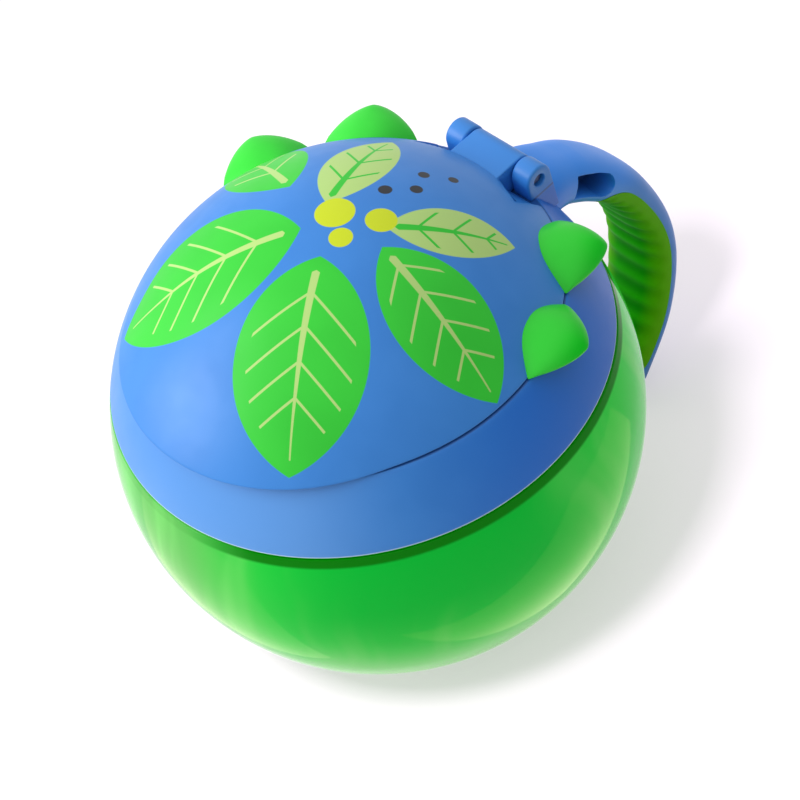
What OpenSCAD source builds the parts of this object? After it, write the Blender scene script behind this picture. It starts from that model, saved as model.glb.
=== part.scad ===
// Toddler snack container: ball-shaped bowl, twist-on collar, flip lid and side handle.
// Origin: centre of the flat base. +Z up, the handle and hinge towards +Y. Millimetres.

/* [Ball] */
// Outer radius of the ball that bowl, collar and lid share
ball_r = 49.2; // [46:0.1:54]
// Height of the ball's centre above the flat base
centre_h = 45.5; // [44.5:0.5:47]
// Height of the bowl's rim above the ball's centre
bowl_seam_h = 14.6; // [12:0.1:16]
// Height of the collar's band, from the bowl's rim to the lid's seam
collar_h = 13.8; // [12.6:0.1:15.5]
// Gap between pieces that move on each other
gap = 0.3; // [0.2:0.05:0.4]

/* [Bowl] */
// Wall of the bowl
bowl_wall = 2.2; // [1.6:0.1:3]
// Thickness of the bowl's flat floor
floor_t = 2.4; // [1.8:0.1:3.5]
// Wall of the neck
neck_wall = 2; // [1.6:0.1:2.4]

/* [Twist lock] */
// Number of lugs round the neck
lug_count = 4; // [3:1:6]
// How far a lug stands out of the neck
lug_out = 1.6; // [1.2:0.1:1.8]
// Distance of a lug's top below the neck's top
lug_drop = 1.9; // [1:0.1:2.4]
// Height of a lug
lug_t = 2; // [1.5:0.1:2.4]
// Width of a lug, in degrees round the neck
lug_deg = 14; // [10:1:18]
// Free angle on each side of a lug
lug_free_deg = 1.5; // [1:0.5:2.5]
// Turn that brings the lugs to their ways out
twist_deg = 30; // [24:1:34]

/* [Collar] */
// Thinnest wall of the collar, outside the lugs
collar_wall = 2.5; // [2:0.1:3.2]
// Thickness of the collar's top over the groove in its underside
deck_t = 2.2; // [1.6:0.1:2.6]
// Depth of that groove, which saves material
core_h = 2.4; // [1.5:0.1:2.6]
// Width of the shoulder left outside the groove
core_side = 2.5; // [1.5:0.1:3]
// Width of the foot left under the raised rim
core_foot = 1; // [0.6:0.1:1.5]
// Space between the raised rim and the inside of the lid
rim_gap = 3.1; // [2.6:0.1:4]
// Wall of the raised rim round the mouth
rim_wall = 1.6; // [1.2:0.1:1.8]
// Height of the raised rim above the lid's seam
rim_h = 2; // [1:0.1:2.2]

/* [Soft flaps] */
// Number of flaps in the mouth
flap_count = 6; // [4:1:8]
// Thickness of a flap
flap_t = 1.2; // [0.8:0.1:1.6]
// Thickness of the ring that carries the flaps
flap_ring_t = 2; // [1.4:0.1:2.4]
// Clearance between the flaps' corners and the collar's mouth
flap_clear = 0.4; // [0.3:0.1:2]
// Slit between two flaps
flap_slit = 0.6; // [0.4:0.1:1]
// Clearance between a flap's root and the ring
flap_root_gap = 0.7; // [0.65:0.05:0.8]

/* [Lid] */
// Wall of the lid
lid_wall = 2.2; // [1.8:0.1:2.6]
// How far the front thumb lip stands out past the seam
lip_out = 4; // [2:0.1:5]
// How much smaller than the seam's the radius of the lip's outline is
lip_tuck = 3.6; // [2.5:0.1:6]
// Width of the catch rib behind the lip, in degrees
catch_deg = 28; // [20:1:40]
// Height of the catch rib
catch_h = 1.6; // [1:0.1:2]
// How far the thick rear of the lid reaches inwards over the collar's rim
pad_shelf = 3; // [1:0.5:5]

/* [Hinge] */
// How far the hinge pin lies behind the lid's seam
hinge_back = 0.3; // [0:0.1:0.8]
// Height of the hinge pin above the lid's seam
hinge_up = 3.1; // [3:0.05:3.4]
// Radius of the hinge pin
pin_r = 1.25; // [1:0.05:1.5]
// Running clearance round the pin in the lid's knuckle
pin_run = 0.06; // [0.03:0.01:0.1]
// Radius of the lid's knuckle
knuckle_r = 2.8; // [2.6:0.05:2.9]
// Width of the lid's knuckle
knuckle_w = 12; // [10:0.5:14]
// Radius of each ear on the collar
ear_r = 3; // [2.8:0.05:3.1]
// Thickness of each ear
ear_t = 4.4; // [3.6:0.1:5.2]
// How deep the pin's ends sit in the ears
pin_sink = 0.8; // [0.4:0.1:1.5]
// Free width beside each ear, cut into the lid
notch_side = 2.6; // [1:0.1:3]
// How far that notch runs forward of the ear
notch_front = 5.1; // [4:0.1:6]
// How far the notch's front edge draws back towards the knuckle
notch_slant = 2.9; // [1:0.1:3.5]
// Depth of the notch under the dome at its front edge
notch_depth = 2.7; // [2:0.1:3]

/* [Handle] */
// Width of the handle where it leaves the collar
handle_root_w = 14.6; // [13:0.2:16]
// Width of the handle at the grip
handle_grip_w = 15.8; // [14:0.2:17]
// Width of the handle near its free end
handle_tip_w = 14; // [12:0.2:15]
// Thickness of the handle where it leaves the collar
handle_root_t = 9.8; // [8.5:0.1:10.5]
// Thickness of the handle near its free end
handle_tip_t = 7.4; // [6.5:0.1:8.5]
// Stand-off of the grip from the ball at its widest
handle_reach = 21; // [18:0.5:26]
// Length of the moulded pocket in each side of the handle
pocket_len = 8; // [5:0.5:9]
// Height of that pocket
pocket_h = 4.6; // [3:0.1:5]
// Wall left between the two pockets
pocket_web = 2; // [1.5:0.1:4]

/* [Grip] */
// Gap between pieces that are fixed to one another
seat_gap = 0.1; // [0.05:0.01:0.2]
// Depth of the ribs across the grip
rib_depth = 0.7; // [0.3:0.05:1]
// Number of ribs across the grip
rib_count = 14; // [10:1:16]

/* [Fins] */
// Width of each soft fin, in degrees round the lid
fin_deg = 25.4; // [20:0.2:27]
// Direction of the front fins, in degrees from the front
fin_front_deg = 112.4; // [108:0.2:114]
// Direction of the rear fins, in degrees from the front
fin_rear_deg = 141.4; // [140.5:0.2:143]
// How far the front fins stand out past the seam
fin_front_out = 7; // [5:0.1:8]
// How far the rear fins stand out past the seam
fin_rear_out = 7.8; // [5:0.1:8.5]
// How far the fins climb the dome above the seam
fin_rise = 4.6; // [3:0.1:6]

/* [Hidden] */

round_fn = 128;
eps = 0.01;
far = 200;

// Radius of the ball at a height above its centre
function ring_radius(h) = sqrt(ball_r * ball_r - h * h);

// Heights above the ball's centre, worked out from the lid's seam down to the neck
base_z = -centre_h;
lid_seam_h = bowl_seam_h + collar_h;
collar_top = lid_seam_h - gap / 2;
lid_bottom = lid_seam_h + gap / 2;
ledge_z = collar_top - deck_t - core_h;
ring_z = ledge_z - gap / 3 - flap_ring_t;
neck_top = ring_z - gap / 3;
run_top = neck_top - lug_drop + gap;
lug_z = neck_top - lug_drop - lug_t;
flap_z = ring_z + flap_ring_t / 2;
hinge_z = lid_seam_h + hinge_up;

// Radii, from the outside in
seam_r = ring_radius(lid_seam_h);
groove_r = ring_radius(run_top) - collar_wall;
neck_out = groove_r - gap - lug_out;
neck_r = neck_out - neck_wall;
bore_r = neck_out + gap;
core_r = bore_r - core_side;
lid_in = sqrt(pow(ball_r - lid_wall, 2) - pow(lid_bottom, 2));
rim_out = lid_in - rim_gap;
mouth_r = rim_out - rim_wall;
flap_reach = (mouth_r - flap_clear) * cos(180 / flap_count);

hinge_y = seam_r + hinge_back;
ear_in = knuckle_w / 2 + gap;
ear_out = ear_in + ear_t;
notch_out = ear_out + notch_side;

// Second ball that carries the front lip: its outline in plan is lip_plan_r at the seam
lip_plan_r = seam_r - lip_tuck;
lip_shift = seam_r + lip_out - lip_plan_r;
lip_drop = 2;
lip_ball_r = sqrt(pow(lip_plan_r, 2) + pow(lid_seam_h + lip_drop, 2));

// Route of the handle's middle line: angle above the ball's equator, and the share of the
// full stand-off that it has there. The first point lies inside the collar.
handle_route = [[31, -0.33], [21.5, 0.1], [12.3, 0.43], [2, 0.72],
                [-11, 0.955], [-25, 0.995], [-39.8, 0.89]];
route = [for (p = handle_route)
    let (r = ball_r + p[1] * handle_reach) [r * cos(p[0]), r * sin(p[0])]];
route_last = len(route) - 1;

// Where along the route the pocket and the grip begin and end, in route points
pocket_from = 1.28;
pocket_up = 0.3;
grip_from = 2.1;
grip_ramp = 0.62;
grip_to = 5.8;
grip_end_ramp = 0.24;
grip_slack = 0.015;
tip_from = 5.79;
grip_steps = 110;
section_power = 0.77;

// Cuts along the handle: close together where the seat of the grip rises
function steps(a, b, d) = let (n = round((b - a) / d)) [for (i = [0:n - 1]) a + (b - a) * i / n];
handle_cuts = concat(steps(0, grip_from, 0.12), steps(grip_from, grip_from + grip_ramp / 2, 0.02),
                     steps(grip_from + grip_ramp / 2, grip_to - grip_end_ramp, 0.12),
                     steps(grip_to - grip_end_ramp, route_last, 0.02), [route_last]);

// Smooth cubic curve through the route's points
function route_point(i) = route[max(0, min(route_last, i))];
function route_at(t) =
    let (i = min(floor(t), route_last - 1), u = t - i,
         a = i == 0 ? 2 * route[0] - route[1] : route_point(i - 1),
         b = route_point(i), c = route_point(i + 1),
         d = i + 2 > route_last ? 2 * route[route_last] - route[route_last - 1] : route_point(i + 2))
    0.5 * (2 * b + (c - a) * u + (2 * a - 5 * b + 4 * c - d) * u * u + (3 * b - a - 3 * c + d) * u * u * u);
function unit(v) = v / norm(v);
function route_dir(t) = unit(route_at(min(t + 0.01, route_last)) - route_at(t - 0.01));
function route_out(t) = let (d = route_dir(t)) [-d[1], d[0]];

function mix(a, b, u) = a + (b - a) * max(0, min(1, u));
function half_w(t) = t < 3
    ? mix(handle_root_w, handle_grip_w, (t - 1.5) / 1.5) / 2
    : mix(handle_grip_w, handle_tip_w, (t - 4.2) / 1.8) / 2;
function half_t(t) = mix(handle_root_t, handle_tip_t, (t - 1.6) / 2.4) / 2;
// The free end is rounded: sections shrink to it like a quarter of an ellipse
function tip_k(t) =
    t < tip_from ? 1 : sqrt(1 - pow(min(0.985, (t - tip_from) / (route_last - tip_from)), 2));

// Depth of the seat that the grip lies in, measured outwards from the middle line.
// It rises from the inner face to the middle at each end of the grip.
function ramp(w) = 1 - sqrt(1 - pow(1 - max(0, min(1, w)), 2));
function seat_at(t) = -half_t(t) * tip_k(t)
    * max(ramp((t - grip_from) / grip_ramp), ramp((grip_to - t) / grip_end_ramp));

function sgn_pow(v) = sign(v) * pow(abs(v), section_power);
function on_route(t, x, n) = let (p = route_at(t), o = route_out(t)) [x, p[0] + n * o[0], p[1] + n * o[1]];

// One closed section of the handle, cut off flat at the seat of the grip
function handle_section(t) = [for (a = [0:12:348])
    on_route(t, half_w(t) * tip_k(t) * sgn_pow(cos(a)),
             max(half_t(t) * tip_k(t) * sgn_pow(sin(a)), seat_at(t)))];

// One closed section of the grip: the part of the oval on the ball's side of the seat
function rib(t) = rib_depth * pow(abs(sin(180 * rib_count * (t - grip_from) / (grip_to - grip_from))), 0.8)
    - rib_depth;
function grip_section(t) =
    let (h = half_t(t) * tip_k(t), n0 = min(seat_at(t - grip_slack), seat_at(t + grip_slack)) - seat_gap,
         a0 = asin(min(0.999, pow(min(1, -n0 / h), 1 / section_power))))
    [for (k = [0:16]) let (a = a0 - 180 + k * (180 - 2 * a0) / 16, s = sgn_pow(sin(a)),
                           deep = max(0, -s - 0.5) * 2)
        on_route(t, half_w(t) * tip_k(t) * sgn_pow(cos(a)), h * s - rib(t) * deep)];

// Solid skin through closed sections of equal length, with flat ends
module skin(rows) {
    n = len(rows[0]);
    m = len(rows);
    polyhedron(
        points = [for (row = rows) for (p = row) p],
        faces = concat(
            [for (i = [0:m - 2]) for (j = [0:n - 1]) [i * n + j, i * n + (j + 1) % n, (i + 1) * n + j]],
            [for (i = [0:m - 2]) for (j = [0:n - 1])
                [i * n + (j + 1) % n, (i + 1) * n + (j + 1) % n, (i + 1) * n + j]],
            [[for (j = [n - 1:-1:0]) j]],
            [[for (j = [0:n - 1]) (m - 1) * n + j]]),
        convexity = 8);
}

module ball(r) { sphere(r = r, $fn = round_fn); }
module slab(z0, z1) { translate([-far / 2, -far / 2, z0]) cube([far, far, z1 - z0]); }
module disc(r, z0, z1) { translate([0, 0, z0]) cylinder(r = r, h = z1 - z0, $fn = round_fn); }
module band(r0, r1, z0, z1) {
    difference() {
        disc(r1, z0, z1);
        disc(r0, z0 - 1, z1 + 1);
    }
}
// Part of a band, from one angle to another round +Z
module arc_band(r0, r1, z0, z1, a0, a1) {
    rotate([0, 0, a0]) rotate_extrude(angle = a1 - a0, $fn = round_fn)
        translate([r0, z0]) square([r1 - r0, z1 - z0]);
}
// Outline in Y and Z, given a width along X from x0 to x1
module along_x(x0, x1) {
    translate([x0, 0, 0]) rotate([90, 0, 90]) linear_extrude(height = x1 - x0) children();
}
module both_sides() {
    children();
    mirror([1, 0, 0]) children();
}
module lifted() { translate([0, 0, centre_h]) children(); }

module bowl() {
    color([0.36, 0.8, 0.36, 0.75]) lifted() {
        difference() {
            union() {
                intersection() {
                    ball(ball_r);
                    slab(base_z, bowl_seam_h - gap / 2);
                }
                disc(neck_out, bowl_seam_h - bowl_wall, neck_top);
                for (k = [0:lug_count - 1])
                    arc_band(neck_r + neck_wall / 2, neck_out + lug_out, lug_z, lug_z + lug_t,
                             k * 360 / lug_count - lug_deg / 2, k * 360 / lug_count + lug_deg / 2);
            }
            intersection() {
                ball(ball_r - bowl_wall);
                slab(base_z + floor_t, bowl_seam_h - gap / 2 - bowl_wall);
            }
            disc(neck_r, 0, far / 2);
        }
    }
}

// Ear in side view: round about the pin, with a straight leg down into the collar
module ear_outline() {
    translate([hinge_y, hinge_z]) circle(r = ear_r, $fn = 64);
    translate([hinge_y - ear_r, neck_top]) square([2 * ear_r, hinge_z - neck_top]);
}

module collar() {
    color([0.33, 0.57, 0.88]) lifted() {
        difference() {
            union() {
                intersection() {
                    ball(ball_r);
                    slab(bowl_seam_h + gap / 2, collar_top);
                }
                disc(rim_out, ledge_z, lid_seam_h + rim_h);
                both_sides() along_x(ear_in, ear_out) ear_outline();
            }
            disc(bore_r, 0, ledge_z);
            disc(mouth_r, 0, far / 2);
            band(rim_out + core_foot, core_r, ledge_z - 1, ledge_z + core_h);
            for (k = [0:lug_count - 1]) {
                mid = k * 360 / lug_count;
                reach = lug_deg / 2 + lug_free_deg;
                arc_band(neck_r, groove_r, lug_z - gap, run_top, mid - twist_deg - reach, mid + reach);
                arc_band(neck_r, groove_r, 0, run_top, mid - twist_deg - reach, mid - twist_deg + reach);
            }
            along_x(-far / 4, far / 4) translate([hinge_y, hinge_z]) circle(r = pin_r, $fn = 48);
        }
    }
}

// Regular outline whose flats lie at a distance from the middle
module flap_outline(reach) { circle(r = reach / cos(180 / flap_count), $fn = flap_count); }

module flap_ring() {
    color([0.22, 0.7, 0.26]) lifted() {
        difference() {
            disc(neck_out, ring_z, ring_z + flap_ring_t);
            rotate([0, 0, 180 / flap_count]) translate([0, 0, ring_z - 1])
                linear_extrude(height = flap_ring_t + 2) flap_outline(flap_reach + flap_root_gap);
        }
    }
}

module flap(k) {
    a = k * 360 / flap_count;
    half = 180 / flap_count;
    w = flap_reach * tan(half);
    back = flap_slit / 2 / sin(half);
    color([0.22, 0.7, 0.26]) lifted() rotate([0, 0, a]) translate([0, 0, flap_z - flap_t / 2])
        linear_extrude(height = flap_t)
            polygon([[back, 0],
                     [flap_reach, w - flap_slit / 2 / cos(half)],
                     [flap_reach, -w + flap_slit / 2 / cos(half)]]);
}

// Notch round an ear. Its floor is a flat that runs from the dome down to the seam, close in
// front of the ear; in plan its front edge runs out and forward from the knuckle.
notch_y1 = hinge_y - ear_r - gap;
notch_y0 = notch_y1 + gap - notch_front;
notch_z0 = ring_radius(notch_y0) - notch_depth;
module notch() {
    intersection() {
        along_x(knuckle_w / 2, notch_out)
            polygon([[notch_y0, notch_z0], [notch_y1, lid_bottom], [notch_y1, 0],
                     [far / 4, 0], [far / 4, far / 4], [notch_y0, far / 4]]);
        linear_extrude(height = far)
            polygon([[knuckle_w / 2, notch_y0 + notch_slant], [notch_out, notch_y0],
                     [notch_out, far / 4], [knuckle_w / 2, far / 4]]);
    }
}

module lid() {
    pad_w = notch_out + lid_wall;
    pad_y = rim_out + gap * 4;
    pad_z = lid_seam_h + rim_h + gap * 2;
    color([0.36, 0.6, 0.92]) lifted() {
        difference() {
            union() {
                difference() {
                    intersection() {
                        union() {
                            ball(ball_r);
                            translate([0, -lip_shift, -lip_drop]) ball(lip_ball_r);
                        }
                        slab(lid_bottom, far / 2);
                    }
                    ball(ball_r - lid_wall);
                }
                intersection() {
                    ball(ball_r - lid_wall / 2);
                    slab(lid_bottom, far / 2);
                    along_x(-pad_w, pad_w)
                        polygon([[pad_y, 0], [pad_y, pad_z], [pad_y - pad_shelf, pad_z],
                                 [0, pad_z + pad_y - pad_shelf], [far / 4, far / 2], [far / 4, 0]]);
                }
                arc_band(rim_out + gap, lid_in + lid_wall / 4, lid_bottom, lid_bottom + catch_h,
                         -90 - catch_deg / 2, -90 + catch_deg / 2);
                along_x(-knuckle_w / 2, knuckle_w / 2) {
                    translate([hinge_y, hinge_z]) circle(r = knuckle_r, $fn = 64);
                    translate([pad_y, lid_bottom])
                        square([hinge_y - pad_y, hinge_z + knuckle_r - lid_bottom]);
                }
            }
            both_sides() notch();
            along_x(-far / 4, far / 4) translate([hinge_y, hinge_z]) circle(r = pin_r + pin_run, $fn = 48);
        }
    }
}

module hinge_pin() {
    half = ear_out - pin_sink;
    color([0.2, 0.4, 0.72]) lifted()
        along_x(-half, half) translate([hinge_y, hinge_z]) circle(r = pin_r - eps, $fn = 48);
}

// Outline of the pocket: a strip along the middle line with one round end
module pocket_outline() {
    cuts = 14;
    span = pocket_len / norm(route_at(2.2) - route_at(1.2));
    function at(i, n) = let (t = pocket_from + span * i / cuts) route_at(t) + route_out(t) * n;
    polygon(concat([for (i = [0:cuts]) at(i, pocket_up + pocket_h / 2)],
                   [for (i = [cuts:-1:0]) at(i, pocket_up - pocket_h / 2)]));
    translate(at(cuts, pocket_up)) circle(r = pocket_h / 2, $fn = 32);
}

module handle() {
    color([0.33, 0.57, 0.88]) lifted() {
        difference() {
            skin([for (t = handle_cuts) handle_section(t)]);
            ball(ball_r + seat_gap);
            intersection() {
                ball(ball_r + gap);
                slab(base_z, bowl_seam_h + gap);
            }
            both_sides() along_x(ear_in - seat_gap, ear_out + seat_gap)
                offset(delta = seat_gap) ear_outline();
            both_sides() along_x(pocket_web / 2, far / 4) pocket_outline();
        }
    }
}

module handle_grip() {
    first = grip_from + 2 * grip_slack;
    last = grip_to - 2 * grip_slack;
    color([0.2, 0.6, 0.1]) lifted()
        skin([for (i = [0:grip_steps]) grip_section(first + (last - first) * i / grip_steps)]);
}

// Soft fin: radial sections from the dome out to a rounded tip, with a flat underside
// In plan its sides run nearly straight to the tip, more so as fin_taper nears 1.
fin_seat = 0.03;
fin_steps = 24;
fin_taper = 1.45;
module fin(dir, out) {
    seat_r = ball_r + fin_seat;
    function on_ball(h) = [sqrt(seat_r * seat_r - h * h), h];
    function plump(u, k) = 1 - pow(abs(2 * u - 1), k);
    function section(u) =
        let (a = dir + (u - 0.5) * fin_deg,
             top = on_ball(lid_bottom + 0.1 + fin_rise * plump(u, 2.4)),
             foot = on_ball(lid_bottom),
             edge = foot + [0.15 + out * plump(u, fin_taper), 0],
             over = [top[0] + 0.8 * (edge[0] - top[0]), top[1] - 0.12 * (top[1] - edge[1])],
             arch = [for (v = [0:0.125:1]) pow(1 - v, 2) * top + 2 * v * (1 - v) * over + v * v * edge],
             inner = [for (v = [0:0.25:0.75]) on_ball(mix(foot[1], top[1], v))])
        [for (p = concat(arch, inner)) [p[0] * sin(a), -p[0] * cos(a), p[1]]];
    color([0.3, 0.85, 0.28]) lifted()
        skin([for (i = [fin_steps:-1:0]) section(0.004 + 0.992 * i / fin_steps)]);
}

bowl();
collar();
flap_ring();
flap(0);  // flap_1
flap(1);  // flap_2
flap(2);  // flap_3
flap(3);  // flap_4
flap(4);  // flap_5
flap(5);  // flap_6
lid();
hinge_pin();
handle();
handle_grip();
mirror([1, 0, 0]) fin(fin_front_deg, fin_front_out);  // fin_front_left
fin(fin_front_deg, fin_front_out);  // fin_front_right
mirror([1, 0, 0]) fin(fin_rear_deg, fin_rear_out);  // fin_rear_left
fin(fin_rear_deg, fin_rear_out);  // fin_rear_right
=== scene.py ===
import math

import bmesh
import bpy
import numpy as np
from mathutils import Matrix, Vector


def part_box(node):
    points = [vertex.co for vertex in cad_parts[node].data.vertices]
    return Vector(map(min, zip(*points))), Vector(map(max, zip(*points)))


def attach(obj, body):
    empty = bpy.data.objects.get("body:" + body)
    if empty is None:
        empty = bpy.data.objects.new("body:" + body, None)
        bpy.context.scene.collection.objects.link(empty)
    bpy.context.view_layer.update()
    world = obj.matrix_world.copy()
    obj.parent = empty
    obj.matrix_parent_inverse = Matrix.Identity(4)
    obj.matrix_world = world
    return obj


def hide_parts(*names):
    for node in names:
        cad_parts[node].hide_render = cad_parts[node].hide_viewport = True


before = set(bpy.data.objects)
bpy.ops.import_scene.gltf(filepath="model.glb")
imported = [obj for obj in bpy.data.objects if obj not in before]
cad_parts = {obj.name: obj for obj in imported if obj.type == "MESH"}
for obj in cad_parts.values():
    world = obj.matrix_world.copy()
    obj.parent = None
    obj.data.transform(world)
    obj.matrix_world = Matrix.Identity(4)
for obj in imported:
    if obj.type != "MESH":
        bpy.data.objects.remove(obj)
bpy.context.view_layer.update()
scene = bpy.context.scene
scene.view_settings.view_transform = "Standard"

# Shapes are written in mm from the middle of the ball that bowl, collar and lid share.
mm = 0.001
collarLow = 14.75    # height of the collar's lower edge
neckTop = 21.45      # height of the bowl's neck
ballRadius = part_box("bowl")[1].x / mm
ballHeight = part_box("bowl")[1].z / mm - neckTop    # the ball's middle over the base
print("frame loaded:", len(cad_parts), "nodes, ball radius", round(ballRadius, 2))

# Camera
viewSizes = dict(
    distance=900.0,          # mm from the camera to the ball's middle
    focal=4904.0,            # focal length in pixels of the square picture
    picture=800.0,
    sensor=36.0,
    around=58.03, above=48.25, roll=-17.29,
    ballAt=(378.0, 406.0),   # pixel where the ball's middle shows
    clip=(0.05, 50.0),       # metres
)


def viewAxes(around, above, roll):
    # right, up and back of a camera turned round the object, lifted, then rolled about its line of sight
    a, e, r = (math.radians(v) for v in (around, above, roll))
    back = Vector((math.sin(a) * math.cos(e), -math.cos(a) * math.cos(e), math.sin(e)))
    flatRight = Vector((math.cos(a), math.sin(a), 0))
    flatUp = back.cross(flatRight)
    right = math.cos(r) * flatRight + math.sin(r) * flatUp
    return right, back.cross(right), back


def addCamera(s):
    right, up, back = viewAxes(s["around"], s["above"], s["roll"])
    step = s["distance"] / s["focal"]
    middle = s["picture"] / 2
    place = (Vector((0, 0, ballHeight)) + right * (middle - s["ballAt"][0]) * step
             + up * (s["ballAt"][1] - middle) * step + back * s["distance"]) * mm
    data = bpy.data.cameras.new("camera")
    data.sensor_width = s["sensor"]
    data.lens = s["focal"] * s["sensor"] / s["picture"]
    data.clip_start, data.clip_end = s["clip"]
    camera = bpy.data.objects.new("camera", data)
    turn = Matrix((right, up, back)).transposed().to_4x4()
    camera.matrix_world = Matrix.Translation(place) @ turn
    scene.collection.objects.link(camera)
    scene.camera = camera


addCamera(viewSizes)
print("camera set")


# Mesh tools
def smoothStep(x, low, high):
    # 0 below low, 1 above high, 3t^2 - 2t^3 between
    t = np.clip((x - low) / (high - low), 0, 1)
    return t * t * (3 - 2 * t)


def softMax(a, b, k):
    # the larger of two values, rounded over where they are within about k of each other
    return (a + b + np.sqrt((a - b) ** 2 + k * k)) / 2


def quadCurve(a, b, c, t):
    # quadratic curve from a to c, drawn towards b
    return (1 - t) ** 2 * a + 2 * t * (1 - t) * b + t * t * c


def signedPower(v, power):
    return np.sign(v) * np.abs(v) ** power


def steps(*stretches):
    # stretches (from, to, count) run together, each starting where the last one ends
    parts = [np.linspace(*stretches[0])] + [np.linspace(*stretch)[1:] for stretch in stretches[1:]]
    return np.concatenate(parts)


def lengthAlong(points):
    # distance from the first point to each, along the line
    return np.concatenate([[0], np.cumsum(np.linalg.norm(np.diff(points, axis=0), axis=1))])


def onBall(z, radius):
    # distance from the upright axis of a ball's surface at height z
    return np.sqrt(radius * radius - z * z)


def ballArc(z0, z1, count, radius):
    # corners (r, z, no bend) on a ball between two heights, evenly spaced in angle
    a = np.linspace(math.asin(z0 / radius), math.asin(z1 / radius), count)
    return [(radius * math.cos(v), radius * math.sin(v), 0) for v in a]


def softened(corners, closed=False, cuts=5):
    # a line through corners (a, b, bend); a corner with a bend becomes the quadratic curve
    # between the points that far along its two sides
    c = np.array([p[:2] for p in corners], float)
    bends = [p[2] if len(p) > 2 else 0 for p in corners]
    last = len(c) - 1
    longest = 0.49    # share of a side that one bend may take
    out = []
    for i, bend in enumerate(bends):
        if bend <= 0 or (not closed and i in (0, last)):
            out.append(c[i][None])
            continue
        before, after = c[i - 1] - c[i], c[(i + 1) % len(c)] - c[i]
        reachBefore, reachAfter = np.linalg.norm(before), np.linalg.norm(after)
        p = c[i] + before / reachBefore * min(bend, reachBefore * longest)
        q = c[i] + after / reachAfter * min(bend, reachAfter * longest)
        out.append(quadCurve(p, c[i], q, np.linspace(0, 1, cuts + 1)[:, None]))
    return np.vstack(out)


def resampled(loop, count):
    # a closed line cut again into equal steps of its own length
    closed = np.vstack([loop, loop[:1]])
    along = lengthAlong(closed)
    at = np.linspace(0, along[-1], count, endpoint=False)
    return np.stack([np.interp(at, along, closed[:, k]) for k in range(loop.shape[1])], -1)


def spin(profile, angles):
    # a profile (r, z) turned round the upright axis; angle 0 is the front, 90 degrees is +X
    r, z = profile[:, :1], profile[:, 1:2]
    return np.stack([r * np.sin(angles), -r * np.cos(angles), z + 0 * angles], -1)


def arcBar(loop, middle, half, count=14):
    # a short bar: a closed outline (r, z) carried round the upright axis from middle - half to middle + half
    angles = np.radians(np.linspace(middle - half, middle + half, count))
    return np.moveaxis(spin(loop, angles), 0, 1)


def capped(grid):
    # one more row at each end, drawn together to the middle of the row beside it
    first = np.broadcast_to(grid[0].mean(0), grid[0].shape)[None]
    final = np.broadcast_to(grid[-1].mean(0), grid[-1].shape)[None]
    return np.concatenate([first, grid, final])


def sideways(outline, x0, x1, bevel, centre, bore, count, boreBevel=0.25, cuts=5):
    # an outline (y, z) carried along X, with a round bore through it and all edges eased by quarter circles
    centre = np.array(centre)
    ray = resampled(outline, count) - centre
    length = np.linalg.norm(ray, axis=1, keepdims=True)
    ray = ray / length
    boreBevel = min(boreBevel, bevel)
    t = np.linspace(0, math.pi / 2, cuts)
    early, late = 1 - np.cos(t), 1 - np.sin(t)
    x = np.concatenate([x0 + boreBevel * early, x1 - boreBevel * late, x1 - bevel * early, x0 + bevel * late])
    bend = np.concatenate([late, early])[:, None, None]
    reach = np.concatenate([bore + boreBevel * bend + 0 * length, length - bevel * bend])
    return np.concatenate([np.broadcast_to(x[:, None, None], reach.shape), centre + ray * reach], -1)


def makePiece(name, grids, body, nodes, material, crease=38, marks=None):
    # grids of points (rows x columns x 3, wrap rows, wrap columns) become one closed mesh with outward faces
    points, faces, start = [], [], 0
    for grid, wrapRows, wrapColumns in grids:
        rows, columns = grid.shape[:2]
        index = start + np.arange(rows * columns).reshape(rows, columns)
        if wrapRows:
            index = np.vstack([index, index[:1]])
        if wrapColumns:
            index = np.hstack([index, index[:, :1]])
        corners = [index[:-1, :-1], index[:-1, 1:], index[1:, 1:], index[1:, :-1]]
        faces.append(np.stack(corners, -1).reshape(-1, 4))
        points.append(grid.reshape(-1, 3))
        start += rows * columns
    points = (np.vstack(points) + [0, 0, ballHeight]) * mm
    mesh = bpy.data.meshes.new(name)
    mesh.from_pydata(points.tolist(), [], np.vstack(faces).tolist())
    for mark, values in (marks or {}).items():
        layer = mesh.attributes.new(mark, "FLOAT", "POINT")
        layer.data.foreach_set("value", np.asarray(values, np.float32).ravel())
    work = bmesh.new()
    work.from_mesh(mesh)
    bmesh.ops.remove_doubles(work, verts=work.verts, dist=2e-6)
    bmesh.ops.recalc_face_normals(work, faces=work.faces)
    work.to_mesh(mesh)
    work.free()
    mesh.polygons.foreach_set("use_smooth", np.ones(len(mesh.polygons), bool))
    mesh.set_sharp_from_angle(angle=math.radians(crease))
    edges = np.empty(len(mesh.loops), np.int32)
    mesh.loops.foreach_get("edge_index", edges)
    openEdges = np.count_nonzero(np.bincount(edges) != 2)
    mesh.materials.append(material)
    piece = bpy.data.objects.new(name, mesh)
    scene.collection.objects.link(piece)
    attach(piece, body)
    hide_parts(*nodes)
    print("  piece", name, len(mesh.vertices), "points,", openEdges, "open edges")


# Shader tools
class Wire:
    # a socket that takes part in Python sums; each operator adds a Math node
    def __init__(self, maker, socket):
        self.maker, self.socket = maker, socket

    def __add__(self, other): return self.maker.math("ADD", self, other)
    def __sub__(self, other): return self.maker.math("SUBTRACT", self, other)
    def __rsub__(self, other): return self.maker.math("SUBTRACT", other, self)
    def __mul__(self, other): return self.maker.math("MULTIPLY", self, other)
    def __truediv__(self, other): return self.maker.math("DIVIDE", self, other)
    def __neg__(self): return self.maker.math("MULTIPLY", self, -1.0)
    def __abs__(self): return self.maker.math("ABSOLUTE", self)


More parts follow.
